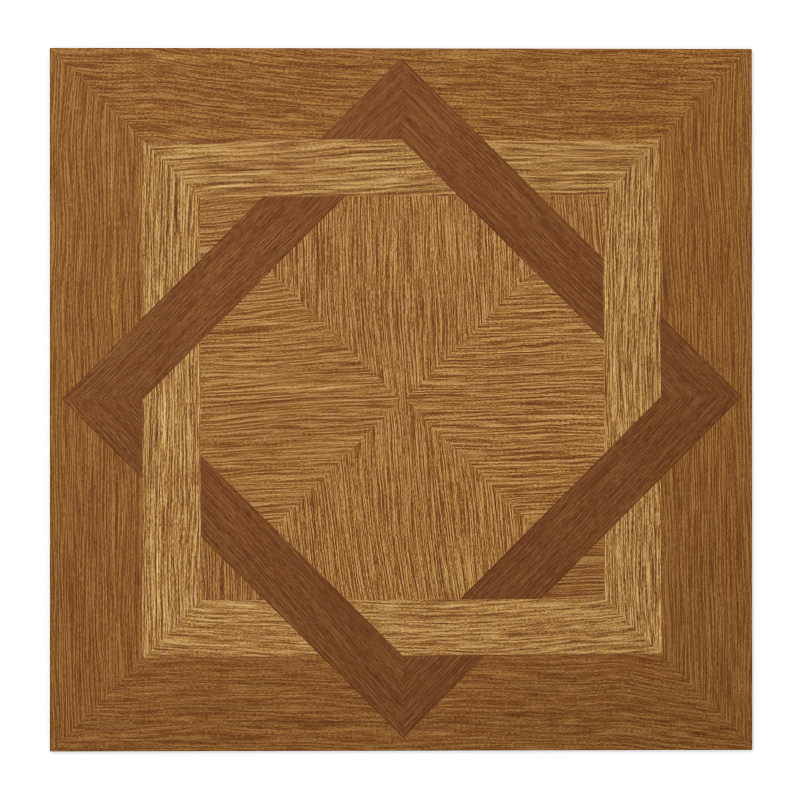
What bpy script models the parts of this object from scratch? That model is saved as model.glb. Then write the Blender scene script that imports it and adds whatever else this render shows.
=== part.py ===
"""Vinyl floor tile: one square sheet of filled vinyl, die cut, lying on its back with the wear face up.

Metres, +Z up. The origin is the middle of the back, on the floor. +Y is the edge that is at the top
when the printed face is looked at, and +X is its right-hand edge.

The sheet is one piece. A die comes down through the wear face, so that face rolls over slightly into
the cut, the cut itself is straight, and the back has only its sharpness taken off.
"""
import math

import bmesh
import bpy

# Driving dimensions of the sheet
TILE_WIDTH = 0.3048  # along X
TILE_LENGTH = 0.3048  # along Y
TILE_THICKNESS = 0.0012

# The cut edge
CORNER_RADIUS = 0.0005  # in plan, where two blades of the die meet
FACE_ROLL_RADIUS = 0.00020  # the wear face rolling over into the cut
BACK_BREAK = 0.00005  # chamfer round the back

# How finely the round parts are divided
CORNER_STEPS = 6
ROLL_STEPS = 5

# Finish: satin printed vinyl, the mean tone of the wood print, as a linear colour
PRINT_COLOUR = (0.276, 0.139, 0.043, 1.0)
PRINT_ROUGHNESS = 0.45
PRINT_METALLIC = 0.0


def clear_scene():
    """Removes every object that is in the scene already."""
    for item in list(bpy.data.objects):
        bpy.data.objects.remove(item, do_unlink=True)


def vinyl_material():
    """Satin printed vinyl."""
    material = bpy.data.materials.new("printed_vinyl")
    material.use_nodes = True
    shader = material.node_tree.nodes["Principled BSDF"]
    shader.inputs["Base Color"].default_value = PRINT_COLOUR
    shader.inputs["Roughness"].default_value = PRINT_ROUGHNESS
    shader.inputs["Metallic"].default_value = PRINT_METALLIC
    return material


def edge_profile():
    """The cut edge in section, from the back up: (distance in from the cut, height) of each ring."""
    profile = [(BACK_BREAK, 0.0), (0.0, BACK_BREAK)]
    roll_start = TILE_THICKNESS - FACE_ROLL_RADIUS
    for step in range(ROLL_STEPS + 1):
        angle = math.radians(90.0) * step / ROLL_STEPS
        inset = FACE_ROLL_RADIUS * (1.0 - math.cos(angle))
        profile.append((inset, roll_start + FACE_ROLL_RADIUS * math.sin(angle)))
    return profile


def outline_ring(mesh, inset, height):
    """Adds the vertices of the tile's outline, moved in by inset, anticlockwise from above."""
    corner_x = TILE_WIDTH / 2.0 - CORNER_RADIUS
    corner_y = TILE_LENGTH / 2.0 - CORNER_RADIUS
    radius = CORNER_RADIUS - inset
    ring = []
    for quarter, (side_x, side_y) in enumerate(((1, 1), (-1, 1), (-1, -1), (1, -1))):
        for step in range(CORNER_STEPS + 1):
            angle = math.radians(90.0) * (quarter + step / CORNER_STEPS)
            x = side_x * corner_x + radius * math.cos(angle)
            y = side_y * corner_y + radius * math.sin(angle)
            ring.append(mesh.verts.new((x, y, height)))
    return ring


def tile_solid():
    """The sheet: its edge profile carried round the outline, closed by the back and the wear face."""
    mesh = bmesh.new()
    rings = [outline_ring(mesh, inset, height) for inset, height in edge_profile()]
    for lower, upper in zip(rings, rings[1:]):
        for here, lower_vertex in enumerate(lower):
            after = (here + 1) % len(lower)
            mesh.faces.new((lower_vertex, lower[after], upper[after], upper[here]))
    back = mesh.faces.new(tuple(reversed(rings[0])))
    wear_face = mesh.faces.new(tuple(rings[-1]))
    for face in mesh.faces:
        face.smooth = face not in (back, wear_face)
    data = bpy.data.meshes.new("vinyl_tile")
    mesh.to_mesh(data)
    mesh.free()
    data.set_sharp_from_angle(angle=math.radians(35.0))
    data.materials.append(vinyl_material())
    tile = bpy.data.objects.new("vinyl_tile", data)
    bpy.context.scene.collection.objects.link(tile)
    return tile


clear_scene()
tile_solid()
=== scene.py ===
"""The looks of a square vinyl floor tile that lies on its back, seen from above.

Its wear face is printed as parquet: a mitred oak border, a square frame of pale oak laced through a
dark diamond, and a field of oak in four wedges. Every plank of the print is a face of the mesh with
its own grain coordinates and its own procedural wood.

Metres, +Z up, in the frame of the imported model.
"""
import math
from collections import namedtuple

import bmesh
import bpy
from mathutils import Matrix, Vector


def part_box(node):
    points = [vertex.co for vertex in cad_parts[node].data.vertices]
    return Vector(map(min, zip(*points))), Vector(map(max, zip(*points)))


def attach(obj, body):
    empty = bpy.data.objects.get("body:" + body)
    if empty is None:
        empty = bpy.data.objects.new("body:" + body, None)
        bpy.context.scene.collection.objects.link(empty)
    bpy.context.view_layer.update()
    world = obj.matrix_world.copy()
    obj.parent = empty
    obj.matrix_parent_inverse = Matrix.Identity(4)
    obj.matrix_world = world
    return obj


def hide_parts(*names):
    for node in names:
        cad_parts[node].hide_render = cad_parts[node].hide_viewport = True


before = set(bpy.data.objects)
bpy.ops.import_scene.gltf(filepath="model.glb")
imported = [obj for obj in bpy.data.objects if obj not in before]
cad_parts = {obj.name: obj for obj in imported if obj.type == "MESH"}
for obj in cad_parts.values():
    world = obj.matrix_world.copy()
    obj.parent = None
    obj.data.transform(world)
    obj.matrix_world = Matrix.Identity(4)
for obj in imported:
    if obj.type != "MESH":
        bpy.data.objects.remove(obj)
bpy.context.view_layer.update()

# The sheet, as the frame gives it
TILE_LOW, TILE_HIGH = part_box("vinyl_tile")
TILE_HALF = (TILE_HIGH.x - TILE_LOW.x) / 2
TILE_THICKNESS = TILE_HIGH.z - TILE_LOW.z

# The cut edge: plan radius of the corners, wear face rolled over by the die, back with its edge broken
CORNER_RADIUS = 0.0005
FACE_ROLL_RADIUS = 0.00020
BACK_BREAK = 0.00005
CORNER_STEPS = 8
ROLL_STEPS = 6
SHARP_ANGLE = math.radians(35.0)

# The print, in millimetres from its middle. A side of a frame is its distance from the middle and how
# far it is turned anticlockwise in degrees; two sides of the pale square aren't quite true.
MM = 0.001
Side = namedtuple("Side", "distance turn")
SQUARE_OUTER = {
    "right": Side(112.2, 0.0),
    "top": Side(112.2, 0.0),
    "left": Side(112.7, -0.22),
    "bottom": Side(111.8, 0.22),
}
SQUARE_FACING = {"right": 0.0, "top": 90.0, "left": 180.0, "bottom": 270.0}
SQUARE_INNER = {name: Side(87.5, 0.0) for name in SQUARE_FACING}
DIAMOND_OUTER = 104.3
DIAMOND_INNER = 79.3
# The wedges of the middle field don't quite meet: the points of the left and the right one
LEFT_POINT = Vector((-0.9, -1.1))
RIGHT_POINT = Vector((1.3, -0.7))
# How far the print sits off the middle of the die cut, and how far it is turned against it
PRINT_SHIFT = Vector((0.4, 0.7))
PRINT_TURN = math.radians(0.16)
PLANK_PITCH = 1000.0  # millimetres of grain between one plank's coordinates and the next one's
SEED_SHIFT = (17.3, 5.7)  # cells along and across between one layer of noise and the next one

# A plank of the print: its wood, the direction of its grain in degrees, how far the grain leans off that
# at the middle of the tile, how much more it leans for each millimetre further along, the contrast of
# its grain against its wood's, and the arch of its lines, if they have one: how far along the grain it
# is, how high and how long, in millimetres
Arch = namedtuple("Arch", "place height reach")
Plank = namedtuple("Plank", "wood grain lean bow contrast arch", defaults=(None,))
PLANKS = {
    "border_top": Plank("border_flat", 0, -0.050, 0.00030, 1.15, Arch(-107, 4.0, 18)),
    "border_right": Plank("border_upright", 90, 0.017, 0.0, 0.97),
    "border_bottom": Plank("border_flat", 0, -0.030, -0.00030, 0.95, Arch(94, 4.0, 18)),
    "border_left": Plank("border_upright", 90, -0.005, -0.00010, 1.0),
    "square_top": Plank("square_flat", 0, 0.025, -0.00050, 1.06),
    "square_right": Plank("square_upright", 90, 0.010, -0.00050, 1.0),
    "square_bottom": Plank("square_fine", 0, 0.0, 0.00100, 0.95),
    "square_left": Plank("square_upright", 90, -0.005, 0.0, 1.0),
    "diamond_upper_left": Plank("dark", 45, 0.0, 0.0, 1.0),
    "diamond_upper_right": Plank("dark", -45, 0.0, 0.0, 1.0),
    "diamond_lower_right": Plank("dark", 45, 0.030, 0.0, 1.0),
    "diamond_lower_left": Plank("dark", -45, -0.060, 0.0, 1.0),
    "field_vertical": Plank("field_upright", 90, 0.075, -0.00070, 1.0),
    "field_left": Plank("field_flat", 0, 0.055, 0.0, 1.0),
    "field_right": Plank("field_flat", 0, 0.020, 0.0, 1.2),
    "corner_upper_left": Plank("corner_flat", 0, 0.090, 0.0, 1.0),
    "corner_upper_right": Plank("corner_upright", 90, 0.070, 0.0, 1.0),
    "corner_lower_right": Plank("corner_flat", 0, 0.035, 0.0, 1.0),
    "corner_lower_left": Plank("corner_upright", 90, 0.0, 0.0, 1.0),
}
VINYL_EDGE = len(PLANKS)  # material index of the cut edge and the back

GLOSS = 0.008  # the white light that the wear layer mirrors, which its colours are seen through

# A wood's colours, from its dark lines to its pale ones, how much redder, greener and bluer they get
# over 100 mm to the right and 100 mm up, and how far its blue plays from line to line
Colours = namedtuple("Colours", "dark body pale rightward upward play")
COLOURS = {
    "border": Colours((101, 49, 10), (135, 88, 40), (172, 128, 71),
                      (-0.030, -0.035, -0.045), (0.072, 0.085, 0.075), 1.1),
    "square": Colours((97, 46, 8), (163, 117, 60), (211, 174, 114),
                      (-0.03, -0.03, -0.04), (0.0, 0.0, -0.02), 0.8),
    "field": Colours((99, 43, 6), (152, 104, 48), (200, 161, 102),
                     (0.0, 0.0, 0.0), (0.025, 0.02, 0.05), 0.8),
    "dark": Colours((85, 35, 4), (117, 70, 35), (150, 106, 63),
                    (-0.065, -0.09, -0.10), (0.07, 0.09, 0.09), 1.1),
    "corner": Colours((98, 45, 8), (145, 97, 46), (190, 150, 92),
                      (-0.03, -0.03, -0.04), (0.09, 0.12, 0.15), 0.8),
}

# A wood's grain. Layers of noise have the length and the width of their cells in millimetres and their
# weight. The wave has its period in millimetres, its weight and how far its phase wanders in radians.
Grain = namedtuple("Grain", "colours bands lines dashes fine specks wave gain")
GRAINS = {
    "border_upright": Grain("border", (70, 4.0, 0.10), (30, 0.50, 0.62), (8, 0.45, 0.42),
                            (2.0, 0.42, 0.50), (0.7, 0.35, 0.45), (1.6, 0.68, 12), 2.3),
    "border_flat": Grain("border", (60, 3.0, 0.08), (40, 1.00, 0.30), (8, 0.70, 0.55),
                         (1.3, 0.55, 0.75), (0.4, 0.45, 0.60), (2.2, 0.65, 12), 2.1),
    "square_upright": Grain("square", (70, 4.0, 0.10), (45, 0.90, 0.60), (9, 0.55, 0.70),
                            (1.8, 0.45, 0.50), (0.7, 0.35, 0.35), (1.6, 0.50, 12), 2.7),
    "square_flat": Grain("square", (60, 4.0, 0.10), (50, 1.15, 0.68), (11, 0.85, 0.42),
                         (1.2, 0.60, 0.50), (0.4, 0.45, 0.75), (2.2, 0.50, 12), 2.4),
    "square_fine": Grain("square", (60, 4.0, 0.10), (40, 1.10, 0.42), (9, 0.85, 0.60),
                         (1.2, 0.55, 0.60), (0.4, 0.45, 0.65), (2.2, 0.65, 12), 2.35),
    "field_upright": Grain("field", (70, 4.0, 0.10), (28, 0.55, 0.75), (6, 0.45, 0.50),
                           (1.7, 0.45, 0.50), (0.7, 0.35, 0.50), (1.62, 0.60, 11), 2.6),
    "field_flat": Grain("field", (60, 3.0, 0.10), (45, 0.80, 0.55), (9, 0.60, 0.45),
                        (1.2, 0.55, 0.50), (0.4, 0.45, 0.65), (1.9, 0.65, 10), 2.3),
    "corner_upright": Grain("corner", (70, 4.0, 0.12), (28, 0.50, 0.60), (6, 0.45, 0.50),
                            (1.7, 0.45, 0.50), (0.7, 0.35, 0.50), (1.62, 0.65, 11), 2.3),
    "corner_flat": Grain("corner", (60, 3.0, 0.15), (45, 0.85, 0.60), (9, 0.65, 0.45),
                         (1.2, 0.55, 0.45), (0.4, 0.45, 0.60), (1.9, 0.60, 10), 2.4),
    "dark": Grain("dark", (50, 2.0, 0.42), (26, 0.42, 0.85), (6, 0.42, 0.75),
                  (2.4, 0.42, 0.75), (0.75, 0.46, 0.50), (1.25, 0.50, 12), 1.3),
}
BEND = (55.0, 30.0, 2.5)  # the slow bend of the grain: its length, its width and its size in millimetres
WOBBLE = (9.0, 5.0, 0.4)  # the quick one
WAVE_WANDER = (40.0, 3.5)  # the cells by which a wave's phase wanders
BLUE_PLAY = (6.0, 0.36)  # some lines are yellower and some redder: the cells of that

# The satin of the wear layer: its roughness, how far that drifts in clouds of so many millimetres and
# how far it follows the grain, its reflection, and its pebbled face, in metres deep and millimetres wide
ROUGHNESS = 0.54
ROUGHNESS_DRIFT = 0.10
ROUGHNESS_CLOUD = 25.0
ROUGHNESS_GRAIN = 0.06
WEAR_SPECULAR = 0.2
PEBBLE_DEPTH = 0.00001
PEBBLE_SIZE = 0.9

# The filled vinyl under the print, its clouds and its grit in metres, the share of each in its mottle
FILLER_COLOURS = ((126, 117, 105), (150, 141, 128), (172, 164, 151))
FILLER_CLOUD = 0.012
FILLER_GRIT = 0.0007
FILLER_CLOUD_SHARE = 0.4
FILLER_GRIT_SHARE = 0.6
FILLER_CONTRAST = 2.0
FILLER_DEPTH = 0.00002
FILLER_ROUGHNESS = 0.52
FILLER_ROUGHNESS_GRIT = 0.2
FILLER_SPECULAR = 0.3

# The dark wood is darker along its long edges: over this many millimetres, by this share
EDGE_WIDTH = 0.60
EDGE_SHADE = 0.45

# Broad streaks of the print, by plank: the two ends in millimetres right of and above the print's
# middle, half the width, and the tone, below zero for darker
STREAK_STRENGTH = 0.50
STREAK_COLOUR = (0.74, 1.00, 1.25)  # how far a streak changes red, green and blue
STREAK_WAVER = 1.6  # how far it follows the grain's quick wobble
Streak = namedtuple("Streak", "x0 y0 x1 y1 half tone")
STREAKS = {
    "field_vertical": (
        Streak(-34.4, 74, -34.4, 34, 0.9, -0.6),
        Streak(-42.5, 53, -42.5, 38, 0.8, -0.5),
        Streak(-18, 90, -16, 12, 0.9, -0.35),
        Streak(-17, 38, -16, 12, 0.9, -0.4),
        Streak(-9, 42, -9, 9, 0.8, -0.4),
        Streak(19, 48, 19, 12, 0.9, -0.6),
        Streak(38.5, 46, 38.5, 39, 0.9, -0.5),
        Streak(0, 90, 0, 20, 0.5, -0.3),
        Streak(-7, 89, -7, 79, 1.2, 0.5),
        Streak(-3.5, 92, -3.5, 10, 0.8, 0.3),
        Streak(8, 37, 8, 4, 1.3, 0.4),
        Streak(14, 82, 14, 58, 4.0, 0.25),
        Streak(45, 72, 45, 58, 2.0, 0.3),
        Streak(-38.7, -36, -38.7, -77, 0.9, -0.6),
        Streak(-46.5, -46, -46.5, -64, 0.8, -0.4),
        Streak(-16, -24, -16, -36, 0.8, -0.4),
        Streak(11, -13, 14.5, -44, 1.0, -0.6),
        Streak(14.3, -40, 15.8, -68, 1.0, -0.6),
        Streak(15.5, -64, 17.2, -86, 1.0, -0.6),
        Streak(31, -27, 31, -42, 0.8, -0.4),
        Streak(40, -36, 40, -62, 0.9, -0.4),
        Streak(-8, -9, -6, -42, 2.5, 0.3),
        Streak(29.5, -63, 29.5, -82, 1.2, 0.4),
        Streak(-33, -53, -33, -82, 1.0, 0.3),
    ),
    "field_right": (
        Streak(22, 23.6, 72, 24.6, 0.8, 0.4),
        Streak(18, 19, 90, 22.5, 0.9, 1.0),
        Streak(24, 21.2, 75, 23, 0.6, -0.4),
        Streak(16, 15, 34, 15, 1.3, -0.4),
        Streak(42, 18.5, 52, 18.5, 1.2, -0.5),
        Streak(38, 37.4, 80, 39.2, 0.9, 0.4),
        Streak(44, 48.5, 62, 48.5, 1.7, 0.4),
        Streak(46, 35.5, 58, 35.5, 1.1, -0.4),
        Streak(31, 30, 52, 30, 0.9, 0.4),
        Streak(10, 11.5, 32, 11.5, 0.9, 0.4),
        Streak(3, 4, 92, 3, 0.8, -0.6),
        Streak(3, -0.5, 92, -0.5, 0.5, -0.4),
        Streak(28, -2.5, 54, -2.5, 0.9, 0.4),
        Streak(33, -6, 41, -6, 0.9, -0.4),
        Streak(8, -9, 42, -9, 0.9, 0.3),
        Streak(55, -9.6, 92, -8.4, 1.0, 0.8),
        Streak(23, -12.7, 62, -12.7, 0.8, 0.3),
        Streak(22, -17, 84, -17, 1.3, 0.3),
        Streak(20, -22, 88, -25, 1.8, -0.4),
        Streak(30, -28, 78, -33, 2.2, 0.4),
    ),
    "field_left": (
        Streak(-82, 32, -36, 32, 1.0, 0.4),
        Streak(-34, 12.5, -10, 12.5, 0.9, 0.4),
        Streak(-90, 2, -5, 6.5, 1.0, 1.0),
        Streak(-90, -5, -3, 2.2, 1.6, -0.5),
        Streak(-90, -5, -48, -2, 1.6, -0.4),
        Streak(-88, -14, -28, -12, 5.0, -0.25),
        Streak(-57, -24, -22, -24, 1.0, 0.4),
        Streak(-82, -29.5, -43, -29.5, 1.0, 0.6),
        Streak(-80, -35, -38, -34, 2.5, 0.3),
    ),
    "square_top": (
        Streak(-150, 110.2, -42, 112.7, 1.9, -1.0),
        Streak(-112, 107, -60, 109, 1.2, 0.4),
        Streak(-84, 105, -60, 106, 1.6, 0.5),
        Streak(-60, 109, 0, 110.5, 1.0, 0.4),
        Streak(-102, 103.5, -76, 103.8, 1.2, -0.5),
        Streak(-59, 106, -23, 107, 0.8, -0.5),
        Streak(-24, 106, 4, 107.2, 0.8, -0.6),
        Streak(-74, 102.5, 4, 101.7, 0.7, -0.4),
        Streak(-24, 102.3, -12, 102.3, 0.9, -0.5),
        Streak(-106, 99.3, 4, 100, 0.9, -0.7),
        Streak(-98, 95.6, -3, 98.6, 1.1, 0.5),
        Streak(-98, 93.3, -48, 96.2, 0.9, -0.5),
        Streak(-90, 91.3, -58, 92.6, 1.0, 0.5),
        Streak(-68, 91, -3, 93, 0.9, -0.4),
        Streak(-92, 88, -18, 88.3, 0.7, -0.5),
        Streak(62, 106.5, 110, 107, 2.2, -0.35),
        Streak(56, 105, 100, 104.8, 0.9, 0.5),
        Streak(66, 102, 108, 102, 1.0, -0.7),
        Streak(50, 99.8, 102, 99.6, 0.8, -0.5),
        Streak(58, 97.5, 99, 97.5, 1.1, 0.5),
        Streak(54, 95.5, 84, 95.5, 0.9, -0.5),
        Streak(64, 92, 78, 92, 1.1, -0.5),
        Streak(56, 93.5, 90, 93.2, 0.8, 0.3),
        Streak(-4, 97.6, 16, 98, 1.1, 0.5),
        Streak(-4, 92, 24, 90.8, 0.9, -0.6),
        Streak(-4, 88, 30, 88, 0.7, -0.6),
    ),
    "square_bottom": (
        Streak(-89, -90, -58, -90, 1.0, 0.4),
        Streak(-95, -93, -70, -93, 1.0, 0.5),
        Streak(-90, -99.6, -68, -100.2, 0.9, -0.5),
        Streak(-64, -97, -50, -97, 0.9, -0.5),
        Streak(-72, -101, -48, -102.2, 0.9, -0.4),
        Streak(-88, -104.8, -68, -106, 0.9, -0.5),
        Streak(-68, -106, -52, -106.4, 0.8, -0.4),
        Streak(-116, -110.8, -90, -112, 0.8, -0.6),
        Streak(-4, -91, 62, -91, 1.2, 0.4),
        Streak(36, -92, 57, -92.4, 1.5, 0.4),
        Streak(78, -103.3, 92, -103.3, 1.0, -0.6),
        Streak(93, -101, 105, -101, 1.0, -0.6),
        Streak(71, -106, 80, -106, 1.0, -0.5),
        Streak(47, -102.3, 58, -102.3, 0.9, -0.5),
        Streak(31, -97.5, 40, -97.5, 0.9, -0.5),
        Streak(-6, -100, 14, -100, 2.0, 0.3),
        Streak(10, -105, 32, -105.6, 0.9, -0.3),
        Streak(3, -109.6, 37, -109.2, 1.0, 0.3),
        Streak(102, -106.4, 112, -107, 1.0, -0.5),
    ),
    "square_left": (
        Streak(-109.6, 82, -105.8, 58, 0.9, -0.5),
        Streak(-105.8, 90, -100.8, 48, 0.9, -0.6),
        Streak(-99, 90, -97, 76, 1.5, -0.6),
        Streak(-98.6, 84, -93.8, 56, 1.0, -0.6),
        Streak(-107.2, 102, -105.4, 78, 0.9, 0.3),
        Streak(-97.2, 74, -90.8, 53, 1.0, 0.4),
        Streak(-88.6, 88, -88.6, 60, 0.8, 0.5),
        Streak(-106.2, 54, -104.4, 38, 0.9, 0.5),
        Streak(-111.7, 62, -111.7, 36, 0.6, -0.6),
        Streak(-103, 10, -103.5, -34, 1.1, 1.0),
        Streak(-103.3, -26, -105.9, -66, 1.1, 1.0),
        Streak(-105.6, -56, -108.1, -108, 1.1, 1.0),
        Streak(-97, 12, -96, -16, 1.0, -0.6),
        Streak(-100.3, -6, -102.6, -62, 0.8, -0.4),
        Streak(-99.3, -28, -102.2, -66, 0.8, 0.4),
        Streak(-103, -53, -103.2, -65, 0.9, -0.5),
        Streak(-91, -53, -91, -65, 1.1, 0.4),
        Streak(-110, -6, -109, -42, 3.0, -0.3),
        Streak(-102.8, -84, -104.2, -106, 0.9, 0.5),
        Streak(-95.4, -33, -96.2, -57, 0.8, -0.4),
        Streak(-92.8, -33, -94.2, -57, 0.7, 0.4),
        Streak(-111.9, -48, -112.1, -78, 0.6, -0.5),
    ),
    "square_right": (
        Streak(111.5, 34, 111.5, -4, 1.0, 0.9),
        Streak(111.7, -32, 111.7, -76, 0.7, 0.5),
        Streak(111.2, -82, 110.6, -116, 1.5, 0.8),
        Streak(111.8, 48, 111.8, 35, 0.6, -0.8),
        Streak(88.2, 64, 88.2, 28, 0.8, 0.5),
        Streak(93, 57, 93, 30, 1.1, 0.4),
        Streak(104, 72, 104, 60, 1.0, -0.5),
        Streak(105, 38, 105, 27, 2.6, -0.35),
        Streak(92.3, 26, 92, -22, 1.0, 0.4),
        Streak(93.5, -2, 93.5, -20, 1.2, 0.5),
        Streak(97, 2, 97, -16, 0.9, 0.3),
        Streak(101, -43, 101, -62, 0.9, -0.4),
        Streak(107, -58, 107, -72, 0.9, -0.5),
        Streak(93, -48, 93, -72, 1.1, 0.4),
        Streak(98, -68, 98, -87, 0.9, 0.4),
    ),
    "border_top": (
        Streak(-116, 148, -70, 148, 1.3, 0.6),
        Streak(-78, 148.2, -42, 146.3, 1.2, 0.6),
        Streak(-47, 147, -6, 147.5, 1.0, 0.4),
        Streak(-114, 143, -78, 142, 1.1, 0.4),
        Streak(-62, 144, 4, 143.5, 1.0, -0.5),
        Streak(-28, 143.7, -8, 143.7, 1.1, -0.5),
        Streak(-62, 142.5, -43, 141, 1.0, 0.4),
        Streak(-14, 142, -2, 141.5, 1.1, 0.6),
        Streak(-114, 134.5, -84, 134, 1.8, -0.35),
        Streak(-90, 134, -62, 133.5, 1.6, -0.4),
        Streak(-62, 130, -16, 128, 1.2, 0.5),
        Streak(-130, 129, -58, 128.5, 1.0, -0.35),
        Streak(-122, 126, -82, 124, 2.6, 0.55),
        Streak(-77, 125, -38, 124, 1.0, -0.3),
        Streak(-68, 121.5, -23, 121, 1.4, 0.5),
        Streak(-117, 118, -58, 118, 0.9, -0.3),
        Streak(-117, 114.6, -83, 113.4, 1.6, 0.8),
        Streak(-72, 115.5, -30, 115, 1.7, 0.8),
        Streak(0, 147.6, 43, 147, 1.3, 0.8),
        Streak(-2, 145.5, 33, 144.8, 1.0, -0.6),
        Streak(7, 142, 43, 142, 1.1, 0.5),
        Streak(58, 142, 80, 141.5, 0.9, 0.4),
        Streak(66, 146, 149, 146, 1.5, 0.35),
        Streak(9, 134.8, 49, 135, 1.1, -0.6),
        Streak(64, 135.8, 76, 134.8, 1.1, -0.6),
        Streak(70, 135.8, 143, 135.8, 0.8, -0.5),
        Streak(102, 134.6, 121, 134.6, 1.5, -0.8),
        Streak(86, 134, 98, 134, 1.1, -0.4),
        Streak(15, 130, 53, 130.3, 1.1, 0.7),
        Streak(26, 128.5, 55, 129, 0.9, -0.5),
        Streak(67, 127.8, 118, 127.5, 1.2, 0.4),
        Streak(23, 126, 52, 126, 1.0, 0.5),
        Streak(25, 122.3, 51, 122.3, 1.1, 0.8),
        Streak(32, 120.8, 78, 121.5, 0.8, -0.5),
        Streak(72, 123.8, 115, 124, 0.9, -0.4),
        Streak(37, 117, 73, 118, 1.0, -0.5),
        Streak(47, 119, 63, 119, 1.1, 0.5),
        Streak(67, 118.2, 121, 120.2, 0.9, -0.5),
        Streak(75, 115.4, 121, 118.2, 1.4, 0.9),
        Streak(35, 113.5, 63, 113.5, 1.1, 0.6),
    ),
    "border_bottom": (
        Streak(-131, -129, -97, -128.5, 1.6, 0.7),
        Streak(-104, -129, -16, -128.5, 1.2, 0.3),
        Streak(-108, -120, -85, -120, 1.3, 0.3),
        Streak(-117, -113.6, -93, -113.6, 1.1, 0.3),
        Streak(-88, -123, -35, -123, 1.1, -0.4),
        Streak(-128, -122, -83, -122.5, 0.9, -0.3),
        Streak(-104, -134, -50, -134, 3.2, -0.3),
        Streak(-149, -141, -107, -141, 1.5, -0.5),
        Streak(-84, -140, 4, -140.6, 1.4, -0.6),
        Streak(-52, -141.3, -12, -141.3, 1.5, -0.4),
        Streak(-149, -146.3, -110, -145.7, 1.2, 0.6),
        Streak(-134, -149, -56, -149, 1.1, -0.6),
        Streak(-83, -144.5, -9, -144.3, 1.4, 0.4),
        Streak(-83, -148, -57, -147.5, 0.9, -0.5),
        Streak(-4, -147, 49, -147, 1.2, 0.4),
        Streak(-4, -140.2, 44, -140.2, 1.1, -0.5),
        Streak(37, -138, 73, -138, 1.3, -0.7),
        Streak(60, -137, 86, -137, 1.6, -0.5),
        Streak(82, -140.3, 145, -140.5, 0.9, -0.7),
        Streak(86, -134, 108, -134, 1.4, -0.5),
        Streak(116, -133, 132, -134, 1.5, -0.6),
        Streak(117, -146.7, 155, -142.8, 1.7, -0.6),
        Streak(68, -143, 87, -143, 1.3, -0.5),
        Streak(27, -118, 51, -121, 1.3, 0.5),
        Streak(83, -119.6, 97, -118.9, 1.1, 0.4),
        Streak(34, -123, 114, -123, 0.9, -0.3),
        Streak(97, -121.5, 128, -121, 1.1, 0.3),
        Streak(108, -114.5, 120, -115, 1.1, -0.5),
        Streak(12, -130, 28, -131, 1.1, 0.3),
        Streak(87, -143, 118, -143, 1.3, 0.3),
    ),
    "border_left": (
        Streak(-125.6, 122, -124.4, 56, 1.3, 0.6),
        Streak(-124.6, 66, -123.9, 20, 1.9, 0.8),
        Streak(-113.3, 115, -113.3, 58, 0.9, 0.7),
        Streak(-119, 82, -119.5, 36, 1.0, 0.4),
        Streak(-144.4, 96, -145.6, 41, 0.9, 0.5),
        Streak(-143.6, 33, -142.4, -3, 1.0, 0.5),
        Streak(-126, 130, -125.2, 106, 1.0, -0.6),
        Streak(-131, 134, -130.5, 56, 0.7, -0.3),
        Streak(-122, 104, -121.5, 51, 0.7, -0.5),
        Streak(-134.6, -28, -134, -50, 1.0, -0.6),
        Streak(-134.6, -46, -132.9, -85, 1.0, -0.5),
        Streak(-129.5, -33, -130, -61, 0.9, -0.4),
        Streak(-127.5, -52, -127.5, -104, 0.8, -0.5),
        Streak(-123.7, -30, -123.7, -51, 1.0, -0.6),
        Streak(-118, -43, -117.5, -65, 0.8, -0.6),
        Streak(-125.8, -32, -125.5, -122, 1.0, 0.4),
        Streak(-121, -38, -121.5, -62, 1.0, 0.4),
        Streak(-123.3, -83, -123.3, -127, 1.0, 0.7),
        Streak(-118, -93, -118, -115, 1.1, 0.5),
        Streak(-114.5, -72, -114.5, -82, 1.3, -0.6),
        Streak(-145, -56, -144, -99, 4.0, -0.25),
        Streak(-140, -76, -139, -114, 3.0, -0.25),
    ),
    "border_right": (
        Streak(114, 124, 113.5, 72, 1.1, 0.8),
        Streak(116.5, 117, 116.5, 79, 0.9, 0.6),
        Streak(121.4, 124, 123.1, 94, 1.0, -0.6),
        Streak(126.9, 130, 128.1, 92, 1.4, -0.6),
        Streak(130, 133, 131, 105, 1.0, -0.5),
        Streak(125.8, 82, 127.6, 56, 0.9, -0.6),
        Streak(131.3, 78, 134.7, 42, 0.9, -0.6),
        Streak(114.5, 63, 115.6, 33, 1.7, -0.7),
        Streak(119, 65, 119, 27, 1.1, 0.4),
        Streak(126, 58, 126.5, 29, 1.4, 0.5),
        Streak(128.3, 61, 129.9, 27, 0.9, -0.5),
        Streak(143.9, 22, 145.1, 3, 0.9, -0.5),
        Streak(132.5, -10, 133, -39, 1.6, 0.6),
        Streak(128.6, -22, 129.6, -51, 1.1, -0.6),
        Streak(135.4, -13, 136.6, -53, 0.9, -0.4),
        Streak(135.3, -47, 133.4, -92, 1.3, -0.7),
        Streak(117.8, -30, 121.7, -55, 1.1, -0.7),
        Streak(117.4, -58, 118.6, -73, 0.9, -0.5),
        Streak(129.5, -57, 129.5, -92, 1.1, -0.5),
        Streak(140, -33, 140.5, -63, 0.9, -0.5),
        Streak(145.5, -42, 145.5, -89, 1.0, -0.4),
        Streak(125.4, -26, 126.1, -53, 1.3, 0.4),
        Streak(142.5, -37, 142.5, -65, 1.2, 0.4),
        Streak(144.5, -110, 144.5, -120, 1.5, -0.6),
        Streak(145.8, -116, 146, -135, 1.3, 0.6),
        Streak(141.9, -116, 143.1, -149, 1.0, -0.5),
        Streak(113.3, -88, 113.3, -115, 0.8, 0.5),
        Streak(133, -107, 133.5, -128, 1.0, 0.4),
        Streak(131, -102, 131, -131, 1.0, -0.5),
    ),
}


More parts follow.
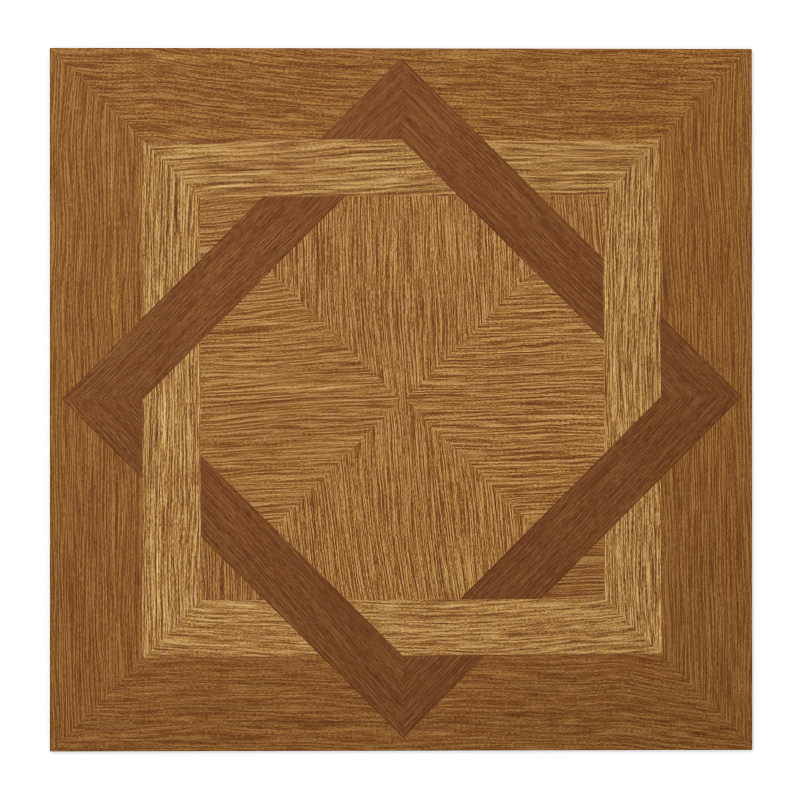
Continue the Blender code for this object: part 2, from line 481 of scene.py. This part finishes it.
# The upward share of a face's normal: more than this on the flat wear face, and more than this wherever
# there is print, because the print rolls over with the face
FLAT = 0.999
PRINTED = 0.05
# Cutting the print, in metres: a vertex this close to a cut is on it, and a plank is read this far inside
# a corner. A corner is clear if its two sides, as unit vectors, add up to more than this.
CUT_SNAP = 1e-7
JUST_INSIDE = 0.0004
CLEAR_CORNER = 0.3

# The bake map: the wear face in one large square, the back in a small one, and the cut edge in strips
FACE_SHARE = 0.88
BACK_SHARE = 0.085
STRIP_SHARE = 0.012
MARGIN = 0.006


def turned(point, angle):
    """A vector turned anticlockwise by an angle in radians."""
    cos_turn, sin_turn = math.cos(angle), math.sin(angle)
    return Vector((point.x * cos_turn - point.y * sin_turn, point.y * cos_turn + point.x * sin_turn))


def print_point(x, y):
    """A point of the tile in metres, in the print's millimetres."""
    return turned(Vector((x, y)) / MM - PRINT_SHIFT, -PRINT_TURN)


def tile_point(point):
    """A point of the print in millimetres, in the tile's metres."""
    return (turned(point, PRINT_TURN) + PRINT_SHIFT) * MM


def facing(degrees):
    """The unit vector in a direction."""
    return Vector((math.cos(math.radians(degrees)), math.sin(math.radians(degrees))))


def beyond(sides, point):
    """How far a point is outside a frame's four sides."""
    return max(
        point.dot(facing(SQUARE_FACING[name] + side.turn)) - side.distance
        for name, side in sides.items()
    )


def side_of(point):
    """The side of a square about the middle that faces a point."""
    if abs(point.y) > abs(point.x):
        return "top" if point.y > 0 else "bottom"
    return "right" if point.x > 0 else "left"


def quarter_of(point):
    """The quarter of the tile that a point is in."""
    return ("upper" if point.y > 0 else "lower") + ("_right" if point.x > 0 else "_left")


# Each side of the diamond crosses two sides of the square: it lies over this one and under the other
LIES_OVER = {"upper_left": "left", "upper_right": "top", "lower_right": "right", "lower_left": "bottom"}


def plank_at(x, y):
    """The plank of the print at a point of the tile."""
    point = print_point(x, y)
    from_diamond = (abs(point.x) + abs(point.y)) / math.sqrt(2.0)
    side, quarter = side_of(point), quarter_of(point)
    outside_square = beyond(SQUARE_OUTER, point) > 0
    in_square = beyond(SQUARE_INNER, point) > 0 and not outside_square
    in_diamond = DIAMOND_INNER < from_diamond < DIAMOND_OUTER
    if in_diamond and not (in_square and LIES_OVER[quarter] != side):
        return "diamond_" + quarter
    if in_square:
        return "square_" + side
    if outside_square:
        return "border_" + side
    if from_diamond > DIAMOND_OUTER:
        return "corner_" + quarter
    if LEFT_POINT.x - point.x > abs(point.y - LEFT_POINT.y):
        return "field_left"
    if point.x - RIGHT_POINT.x > abs(point.y - RIGHT_POINT.y):
        return "field_right"
    return "field_vertical"


def joint_lines():
    """Every line that the print's joints lie on, as (point, normal) in the print's millimetres."""
    lines = []
    for sides in (SQUARE_INNER, SQUARE_OUTER):
        for name, side in sides.items():
            normal = facing(SQUARE_FACING[name] + side.turn)
            lines.append((normal * side.distance, normal))
    for distance in (DIAMOND_INNER, DIAMOND_OUTER):
        for degrees in (45, 135, 225, 315):
            lines.append((facing(degrees) * distance, facing(degrees)))
    for degrees in (0, 90, 45, 135):
        lines.append((Vector((0, 0)), facing(degrees)))
    for point in (LEFT_POINT, RIGHT_POINT):
        for degrees in (45, 135):
            lines.append((point, facing(degrees)))
    lines.append(((LEFT_POINT + RIGHT_POINT) / 2, facing(90)))
    return lines


def edge_profile():
    """The cut edge in section, from the back up: (distance in from the cut, height) of each ring."""
    profile = [(BACK_BREAK, 0.0), (0.0, BACK_BREAK)]
    for step in range(ROLL_STEPS + 1):
        angle = math.radians(90.0) * step / ROLL_STEPS
        inset = FACE_ROLL_RADIUS * (1.0 - math.cos(angle))
        height = TILE_THICKNESS - FACE_ROLL_RADIUS * (1.0 - math.sin(angle))
        profile.append((inset, height))
    return profile


def outline_ring(mesh, inset, height):
    """Adds the tile's outline, moved in by inset, anticlockwise from above."""
    corner = TILE_HALF - CORNER_RADIUS
    radius = CORNER_RADIUS - inset
    ring = []
    for quarter, (side_x, side_y) in enumerate(((1, 1), (-1, 1), (-1, -1), (1, -1))):
        for step in range(CORNER_STEPS + 1):
            angle = math.radians(90.0) * (quarter + step / CORNER_STEPS)
            x = side_x * corner + radius * math.cos(angle)
            y = side_y * corner + radius * math.sin(angle)
            ring.append(mesh.verts.new((x, y, height)))
    return ring


def faces_up(face):
    """Whether a face is part of the flat wear face."""
    return face.normal.z > FLAT


def each_once(items):
    """The items without repeats, in the order they came, so that every run builds the same mesh."""
    return list(dict.fromkeys(items))


def cut_print(mesh, faces):
    """Cuts these faces along the print's joints, and returns their parts."""
    for point, normal in joint_lines():
        edges = each_once(edge for face in faces for edge in face.edges)
        corners = each_once(vertex for face in faces for vertex in face.verts)
        place = tile_point(point)
        across = turned(normal, PRINT_TURN)
        bmesh.ops.bisect_plane(
            mesh,
            geom=faces + edges + corners,
            dist=CUT_SNAP,
            plane_co=(place.x, place.y, 0.0),
            plane_no=(across.x, across.y, 0.0),
        )
        faces = [face for face in mesh.faces if faces_up(face)]
    return faces


def inside_plank(edge):
    """Whether an edge has the same plank on both sides."""
    planks = [plank_at(*face.calc_center_median().xy) for face in edge.link_faces if faces_up(face)]
    return len(planks) == 2 and planks[0] == planks[1]


def join_planks(mesh, faces):
    """Dissolves the cuts that run on inside one plank."""
    edges = each_once(edge for face in faces for edge in face.edges)
    inner = [edge for edge in edges if inside_plank(edge)]
    bmesh.ops.dissolve_edges(mesh, edges=inner, use_verts=False)


def plank_of_face(face):
    """The plank of a face, read just inside one of the convex corners of a flat one."""
    if faces_up(face):
        for loop in face.loops:
            here = loop.vert.co
            before = (loop.link_loop_prev.vert.co - here).normalized()
            after = (loop.link_loop_next.vert.co - here).normalized()
            inward = before + after
            if loop.is_convex and inward.length > CLEAR_CORNER:
                spot = here + inward.normalized() * JUST_INSIDE
                return plank_at(spot.x, spot.y)
    centre = face.calc_center_median()
    return plank_at(centre.x, centre.y)


def grain_point(name, point):
    """A point of the print as millimetres along a plank's grain and across it."""
    return turned(point, -math.radians(PLANKS[name].grain))


def bake_point(face, vertex):
    """A point of the bake map."""
    along_x = (vertex.x + TILE_HALF) / (2 * TILE_HALF)
    along_y = (vertex.y + TILE_HALF) / (2 * TILE_HALF)
    if face.normal.z > PRINTED:
        return MARGIN + FACE_SHARE * along_x, MARGIN + FACE_SHARE * along_y
    if face.normal.z < -FLAT:
        corner = 1.0 - MARGIN - BACK_SHARE
        return corner + BACK_SHARE * along_x, corner + BACK_SHARE * along_y
    strip = 2 * (abs(face.normal.y) > abs(face.normal.x)) + (face.normal.x + face.normal.y > 0)
    along = along_x if strip > 1 else along_y
    start = MARGIN + FACE_SHARE + MARGIN + strip * (STRIP_SHARE + MARGIN)
    return start + STRIP_SHARE * vertex.z / TILE_THICKNESS, MARGIN + FACE_SHARE * along


def tile_mesh():
    """The sheet, its wear face cut into the planks of the print."""
    mesh = bmesh.new()
    rings = [outline_ring(mesh, inset, height) for inset, height in edge_profile()]
    for lower, upper in zip(rings, rings[1:]):
        for here, lower_vertex in enumerate(lower):
            after = (here + 1) % len(lower)
            mesh.faces.new((lower_vertex, lower[after], upper[after], upper[here]))
    mesh.faces.new(tuple(reversed(rings[0])))
    wear_face = mesh.faces.new(tuple(rings[-1]))
    mesh.normal_update()
    join_planks(mesh, cut_print(mesh, [wear_face]))
    mesh.normal_update()
    bake = mesh.loops.layers.uv.new("OFBake")
    grain = mesh.loops.layers.uv.new("grain")
    for face in mesh.faces:
        name = plank_of_face(face)
        printed = face.normal.z > PRINTED
        face.material_index = list(PLANKS).index(name) if printed else VINYL_EDGE
        for loop in face.loops:
            loop[bake].uv = bake_point(face, loop.vert.co)
            loop[grain].uv = grain_point(name, print_point(*loop.vert.co.xy)) * MM
    data = bpy.data.meshes.new("printed_vinyl_tile")
    mesh.to_mesh(data)
    mesh.free()
    data.set_sharp_from_angle(angle=SHARP_ANGLE)
    for face in data.polygons:
        # The wear face and the back are shaded flat, or the slope of the roll would shade the border too
        face.use_smooth = abs(face.normal.z) < FLAT
    return data


def linear(colour, less=0.0):
    """An sRGB colour of 0 to 255 as a linear one with alpha, less a share of white."""
    out = []
    for value in colour:
        value = value / 255.0
        light = value / 12.92 if value <= 0.04045 else ((value + 0.055) / 1.055) ** 2.4
        out.append(max(light - less, 0.0))
    return (*out, 1.0)


def add_node(tree, kind, **settings):
    """Adds a shader node with these settings."""
    node = tree.nodes.new(kind)
    for name, value in settings.items():
        setattr(node, name, value)
    return node


def plug(tree, socket, value):
    """Links a socket to another, or gives it a value."""
    if isinstance(value, bpy.types.NodeSocket):
        tree.links.new(value, socket)
    else:
        socket.default_value = value


def maths(tree, operation, *values, clamp=False):
    """The result of a Math node."""
    node = add_node(tree, "ShaderNodeMath", operation=operation, use_clamp=clamp)
    for socket, value in zip(node.inputs, values):
        plug(tree, socket, value)
    return node.outputs[0]


def vector_maths(tree, operation, *values):
    """The result of a Vector Math node."""
    node = add_node(tree, "ShaderNodeVectorMath", operation=operation)
    for socket, value in zip(node.inputs, values):
        plug(tree, socket, value)
    return node.outputs[0]


def noise(tree, along, across, cell_along, cell_across, seed):
    """Noise about zero, with cells of this size in millimetres along and across the grain."""
    shift = (seed * SEED_SHIFT[0], seed * SEED_SHIFT[1])
    combine = add_node(tree, "ShaderNodeCombineXYZ")
    plug(tree, combine.inputs[0], maths(tree, "MULTIPLY_ADD", along, 1.0 / cell_along, shift[0]))
    plug(tree, combine.inputs[1], maths(tree, "MULTIPLY_ADD", across, 1.0 / cell_across, shift[1]))
    texture = add_node(tree, "ShaderNodeTexNoise", noise_dimensions="2D")
    plug(tree, texture.inputs["Vector"], combine.outputs[0])
    texture.inputs["Scale"].default_value = 1.0
    texture.inputs["Detail"].default_value = 0.0
    return maths(tree, "SUBTRACT", texture.outputs[0], 0.5)


def total(tree, *terms):
    """The sum of weight times socket over (weight, socket) pairs."""
    result = 0.0
    for weight, socket in terms:
        result = maths(tree, "MULTIPLY_ADD", socket, weight, result)
    return result


def ripple(tree, along, across, period, wander):
    """A sine across the grain between minus and plus a quarter, its phase wandering by so many radians."""
    phase = maths(tree, "MULTIPLY", noise(tree, along, across, *WAVE_WANDER, seed=9), wander)
    angle = maths(tree, "MULTIPLY_ADD", across, math.tau / period, phase)
    return maths(tree, "MULTIPLY", maths(tree, "SINE", angle), 0.25)


def streak_tone(tree, name, streak, along, across, tone):
    """Adds a streak of a plank to a tone: a lens that fades out towards its edge."""
    start = grain_point(name, Vector((streak.x0, streak.y0)))
    end = grain_point(name, Vector((streak.x1, streak.y1)))
    reach = abs(end.x - start.x) / 2
    lean = (end.y - start.y) / (end.x - start.x)
    middle = (start + end) / 2
    run = maths(tree, "MULTIPLY_ADD", along, 1.0 / reach, -middle.x / reach)
    axis = maths(tree, "MULTIPLY_ADD", run, -lean * reach / streak.half, -middle.y / streak.half)
    off = maths(tree, "MULTIPLY_ADD", across, 1.0 / streak.half, axis)
    run_square = maths(tree, "MULTIPLY", run, run)
    square = maths(tree, "MULTIPLY_ADD", off, off, run_square)
    inside = maths(tree, "SUBTRACT", 1.0, square, clamp=True)
    return maths(tree, "MULTIPLY_ADD", inside, streak.tone * STREAK_STRENGTH, tone)


def arched(tree, arch, along, level):
    """Raises the lines of a plank in an arch, if it has one."""
    if arch is None:
        return level
    off = maths(tree, "MULTIPLY_ADD", along, 1.0 / arch.reach, -arch.place / arch.reach)
    spread = maths(tree, "MULTIPLY_ADD", off, off, 1.0)
    return maths(tree, "ADD", level, maths(tree, "DIVIDE", -arch.height, spread))


def edge_shade(tree, straight):
    """Minus the share by which the dark wood darkens towards its long edges."""
    middle = (DIAMOND_INNER + DIAMOND_OUTER) / 2
    from_centre = maths(tree, "ABSOLUTE", straight)
    off_middle = maths(tree, "ABSOLUTE", maths(tree, "SUBTRACT", from_centre, middle))
    inset = maths(tree, "SUBTRACT", (DIAMOND_OUTER - DIAMOND_INNER) / 2, off_middle)
    closeness = maths(tree, "MULTIPLY_ADD", inset, -1.0 / EDGE_WIDTH, 1.0, clamp=True)
    return maths(tree, "MULTIPLY", closeness, -EDGE_SHADE)


def tint(tree, colour, colours, shade, blue):
    """Shifts a colour with the place on the tile, by its wood's rise to the right and up, and by a shade
    and a play of blue.
    """
    place = add_node(tree, "ShaderNodeTexCoord").outputs["Object"]
    split = add_node(tree, "ShaderNodeSeparateXYZ")
    plug(tree, split.inputs[0], place)
    shares = []
    for channel in range(3):
        rise_x = colours.rightward[channel] / (100 * MM)
        rise_y = colours.upward[channel] / (100 * MM)
        rightward = maths(tree, "MULTIPLY_ADD", split.outputs[0], rise_x, 1.0)
        upward = maths(tree, "MULTIPLY_ADD", split.outputs[1], rise_y, rightward)
        shaded = maths(tree, "MULTIPLY_ADD", shade, STREAK_COLOUR[channel], 1.0)
        shares.append(maths(tree, "MULTIPLY", upward, shaded))
    shares[2] = maths(tree, "MULTIPLY_ADD", shares[2], blue, shares[2])
    combine = add_node(tree, "ShaderNodeCombineXYZ")
    for socket, share in zip(combine.inputs, shares):
        plug(tree, socket, share)
    return vector_maths(tree, "MULTIPLY", colour, combine.outputs[0])


def colour_ramp(tree, place, *colours):
    """A ramp over evenly spaced colours."""
    ramp = add_node(tree, "ShaderNodeValToRGB")
    elements = ramp.color_ramp.elements
    elements[0].color = linear(colours[0], GLOSS)
    elements[1].color = linear(colours[-1], GLOSS)
    for step in range(1, len(colours) - 1):
        elements.new(step / (len(colours) - 1)).color = linear(colours[step], GLOSS)
    plug(tree, ramp.inputs[0], place)
    return ramp.outputs[0]


def plank_material(name):
    """One plank of the print."""
    plank = PLANKS[name]
    grain = GRAINS[plank.wood]
    colours = COLOURS[grain.colours]
    material = bpy.data.materials.new(name)
    material.use_nodes = True
    tree = material.node_tree
    shader = tree.nodes["Principled BSDF"]
    grain_map = add_node(tree, "ShaderNodeUVMap", uv_map="grain")
    split = add_node(tree, "ShaderNodeSeparateXYZ")
    plug(tree, split.inputs[0], grain_map.outputs[0])
    along = maths(tree, "DIVIDE", split.outputs[0], MM)
    straight = maths(tree, "DIVIDE", split.outputs[1], MM)
    leaning = maths(tree, "MULTIPLY_ADD", along, -plank.bow / 2, -plank.lean)
    level = arched(tree, plank.arch, along, maths(tree, "MULTIPLY_ADD", leaning, along, straight))
    run = maths(tree, "ADD", along, PLANK_PITCH * (list(PLANKS).index(name) + 1))
    bend = noise(tree, run, level, *BEND[:2], seed=1)
    wobble = noise(tree, run, level, *WOBBLE[:2], seed=2)
    across = total(tree, (1.0, level), (BEND[2], bend), (WOBBLE[2], wobble))
    tone = total(
        tree,
        (grain.bands[2], noise(tree, run, across, *grain.bands[:2], seed=6)),
        (grain.lines[2], noise(tree, run, across, *grain.lines[:2], seed=3)),
        (grain.dashes[2], noise(tree, run, across, *grain.dashes[:2], seed=8)),
        (grain.fine[2], noise(tree, run, across, *grain.fine[:2], seed=5)),
        (grain.specks[2], noise(tree, run, across, *grain.specks[:2], seed=7)),
        (grain.wave[1], ripple(tree, run, across, grain.wave[0], grain.wave[2])),
    )
    contrast = maths(tree, "TANH", maths(tree, "MULTIPLY", tone, grain.gain * plank.contrast))
    place = maths(tree, "MULTIPLY_ADD", contrast, 0.5, 0.5)
    colour = colour_ramp(tree, place, colours.dark, colours.body, colours.pale)
    shade = edge_shade(tree, straight) if plank.wood == "dark" else 0.0
    wavering = maths(tree, "MULTIPLY_ADD", wobble, STREAK_WAVER, straight)
    for streak in STREAKS.get(name, ()):
        shade = streak_tone(tree, name, streak, along, wavering, shade)
    blue = maths(tree, "MULTIPLY", noise(tree, run, across, *BLUE_PLAY, seed=4), colours.play)
    plug(tree, shader.inputs["Base Color"], tint(tree, colour, colours, shade, blue))
    wear_layer(tree, shader, run, level, place)
    return material


def wear_layer(tree, shader, along, across, place):
    """The clear satin wear layer: a little duller in places and over the dark lines, faintly pebbled."""
    cloud = noise(tree, along, across, ROUGHNESS_CLOUD, ROUGHNESS_CLOUD, seed=10)
    dull = maths(tree, "MULTIPLY_ADD", cloud, ROUGHNESS_DRIFT, ROUGHNESS)
    plug(tree, shader.inputs["Roughness"], maths(tree, "MULTIPLY_ADD", place, -ROUGHNESS_GRAIN, dull))
    shader.inputs["Specular IOR Level"].default_value = WEAR_SPECULAR
    bump = add_node(tree, "ShaderNodeBump")
    bump.inputs["Strength"].default_value = 1.0
    bump.inputs["Distance"].default_value = PEBBLE_DEPTH
    plug(tree, bump.inputs["Height"], noise(tree, along, across, PEBBLE_SIZE, PEBBLE_SIZE, seed=11))
    plug(tree, shader.inputs["Normal"], bump.outputs[0])


def vinyl_edge_material():
    """The filled vinyl of the cut edge and the back."""
    material = bpy.data.materials.new("filled_vinyl")
    material.use_nodes = True
    tree = material.node_tree
    shader = tree.nodes["Principled BSDF"]
    place = add_node(tree, "ShaderNodeTexCoord").outputs["Object"]
    clouds = add_node(tree, "ShaderNodeTexNoise")
    plug(tree, clouds.inputs["Vector"], place)
    clouds.inputs["Scale"].default_value = 1.0 / FILLER_CLOUD
    clouds.inputs["Detail"].default_value = 3.0
    grit = add_node(tree, "ShaderNodeTexNoise")
    plug(tree, grit.inputs["Vector"], place)
    grit.inputs["Scale"].default_value = 1.0 / FILLER_GRIT
    grit.inputs["Detail"].default_value = 2.0
    cloudy = maths(tree, "MULTIPLY", clouds.outputs[0], FILLER_CLOUD_SHARE)
    mottle = maths(tree, "MULTIPLY_ADD", grit.outputs[0], FILLER_GRIT_SHARE, cloudy)
    middle = (1.0 - FILLER_CONTRAST) / 2
    spread = maths(tree, "MULTIPLY_ADD", mottle, FILLER_CONTRAST, middle, clamp=True)
    plug(tree, shader.inputs["Base Color"], colour_ramp(tree, spread, *FILLER_COLOURS))
    dull = maths(tree, "MULTIPLY_ADD", mottle, FILLER_ROUGHNESS_GRIT, FILLER_ROUGHNESS)
    plug(tree, shader.inputs["Roughness"], dull)
    shader.inputs["Specular IOR Level"].default_value = FILLER_SPECULAR
    bump = add_node(tree, "ShaderNodeBump")
    bump.inputs["Strength"].default_value = 1.0
    bump.inputs["Distance"].default_value = FILLER_DEPTH
    plug(tree, bump.inputs["Height"], grit.outputs[0])
    plug(tree, shader.inputs["Normal"], bump.outputs[0])
    return material


def printed_tile():
    """The tile with its print."""
    data = tile_mesh()
    for name in PLANKS:
        data.materials.append(plank_material(name))
    data.materials.append(vinyl_edge_material())
    tile = bpy.data.objects.new("printed_vinyl_tile", data)
    bpy.context.scene.collection.objects.link(tile)
    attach(tile, "root")
    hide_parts("vinyl_tile")
    return tile


# The light: a white surround that is dim straight above, and a wide lamp from the upper left, together
# as strong on a level floor as an even white sky of strength 1
SURROUND_STRENGTH = 1.0
OVERHEAD_STRENGTH = 0.10
OVERHEAD_START = 0.60
OVERHEAD_FULL = 0.90
KEY_STRENGTH = 1.80
KEY_SPREAD = 40.0
KEY_TILT = 35.0
FLOOR_REACH = 3.0
FLOOR_WHITE = 0.60
FLOOR_LIFT = 0.43  # brings the lit floor to white in the picture, with the tile's shadow faint on it
FLOOR_GAP = 0.00005  # keeps the floor's plane off the back's
PIXEL_FILTER = 1.0  # the photograph is crisp, finer than the render's own filter

# The camera, nearly straight above the tile, in metres and degrees
LENS = 85.0
SENSOR_WIDTH = 36.0
CAMERA_PLACE = (-0.0090, -0.00179, 0.82062)
CAMERA_TURN = (0.107, -0.582, -0.025)


def surround():
    """The world: white all round, and dim straight above."""
    world = bpy.data.worlds.new("studio")
    world.use_nodes = True
    bpy.context.scene.world = world
    tree = world.node_tree
    background = tree.nodes["Background"]
    direction = add_node(tree, "ShaderNodeTexCoord").outputs["Generated"]
    height = add_node(tree, "ShaderNodeSeparateXYZ")
    plug(tree, height.inputs[0], direction)
    overhead = add_node(tree, "ShaderNodeMapRange", interpolation_type="SMOOTHSTEP")
    plug(tree, overhead.inputs["Value"], height.outputs[2])
    overhead.inputs["From Min"].default_value = OVERHEAD_START
    overhead.inputs["From Max"].default_value = OVERHEAD_FULL
    overhead.inputs["To Min"].default_value = SURROUND_STRENGTH
    overhead.inputs["To Max"].default_value = OVERHEAD_STRENGTH
    background.inputs["Color"].default_value = (1.0, 1.0, 1.0, 1.0)
    plug(tree, background.inputs["Strength"], overhead.outputs[0])


def key_light():
    """One soft lamp from the upper left."""
    data = bpy.data.lights.new("key", "SUN")
    data.energy = KEY_STRENGTH
    data.angle = math.radians(KEY_SPREAD)
    key = bpy.data.objects.new("key", data)
    key.rotation_euler = (math.radians(-KEY_TILT), math.radians(-KEY_TILT), 0.0)
    bpy.context.scene.collection.objects.link(key)


def floor_material():
    """A matt floor that the picture shows white where no shadow falls on it."""
    material = bpy.data.materials.new("floor")
    material.use_nodes = True
    shader = material.node_tree.nodes["Principled BSDF"]
    shader.inputs["Base Color"].default_value = (FLOOR_WHITE, FLOOR_WHITE, FLOOR_WHITE, 1.0)
    shader.inputs["Specular IOR Level"].default_value = 0.0
    shader.inputs["Roughness"].default_value = 1.0
    shader.inputs["Emission Color"].default_value = (1.0, 1.0, 1.0, 1.0)
    tree = material.node_tree
    path = add_node(tree, "ShaderNodeLightPath")
    mirrored = maths(tree, "MAXIMUM", path.outputs["Is Glossy Ray"], path.outputs["Is Transmission Ray"])
    seen = maths(tree, "MAXIMUM", path.outputs["Is Camera Ray"], mirrored)
    plug(tree, shader.inputs["Emission Strength"], maths(tree, "MULTIPLY", seen, FLOOR_LIFT))
    return material


def white_floor():
    """The level floor that the tile lies on."""
    reach = FLOOR_REACH
    corners = [(-reach, -reach, 0), (reach, -reach, 0), (reach, reach, 0), (-reach, reach, 0)]
    data = bpy.data.meshes.new("floor")
    data.from_pydata(corners, [], [(0, 1, 2, 3)])
    data.materials.append(floor_material())
    floor = bpy.data.objects.new("floor", data)
    floor.location.z = -FLOOR_GAP
    bpy.context.scene.collection.objects.link(floor)


def camera():
    """The photograph's view: from above, nearly square on."""
    data = bpy.data.cameras.new("camera")
    data.lens = LENS
    data.sensor_width = SENSOR_WIDTH
    view = bpy.data.objects.new("camera", data)
    view.location = CAMERA_PLACE
    view.rotation_euler = [math.radians(turn) for turn in CAMERA_TURN]
    bpy.context.scene.collection.objects.link(view)
    bpy.context.scene.camera = view


printed_tile()
surround()
key_light()
white_floor()
camera()
bpy.context.scene.view_settings.view_transform = "Standard"
bpy.context.scene.cycles.filter_width = PIXEL_FILTER
